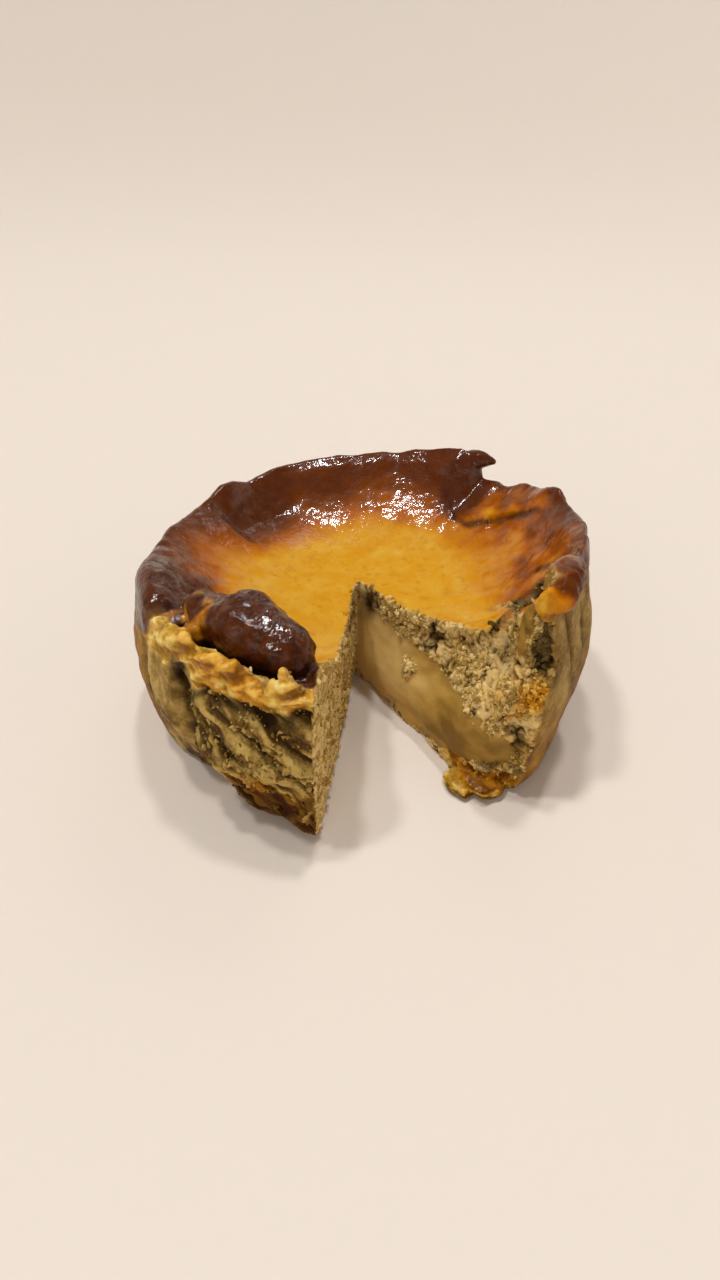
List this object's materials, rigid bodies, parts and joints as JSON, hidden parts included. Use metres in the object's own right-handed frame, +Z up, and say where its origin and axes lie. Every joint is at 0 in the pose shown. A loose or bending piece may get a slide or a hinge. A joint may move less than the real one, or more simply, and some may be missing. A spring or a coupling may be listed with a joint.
{
  "type": "basque cheesecake",
  "caption": "Burnt cheesecake with a sunken golden middle, a raised browned rim that folds inward, a rough side wall and one slice cut out.",
  "frame": {"origin": "middle of the bounding box, on the underside", "axes": "+Z up, -Y towards the missing slice, +X to the right as seen from there"},
  "size_m": [0.152, 0.1512, 0.0741],
  "materials": {
    "cheesecake": "browned, glossy on the rim and matt on the cut faces"
  },
  "bodies": {
    "root": {"cheesecake": "cheesecake"}
  },
  "joints": []
}
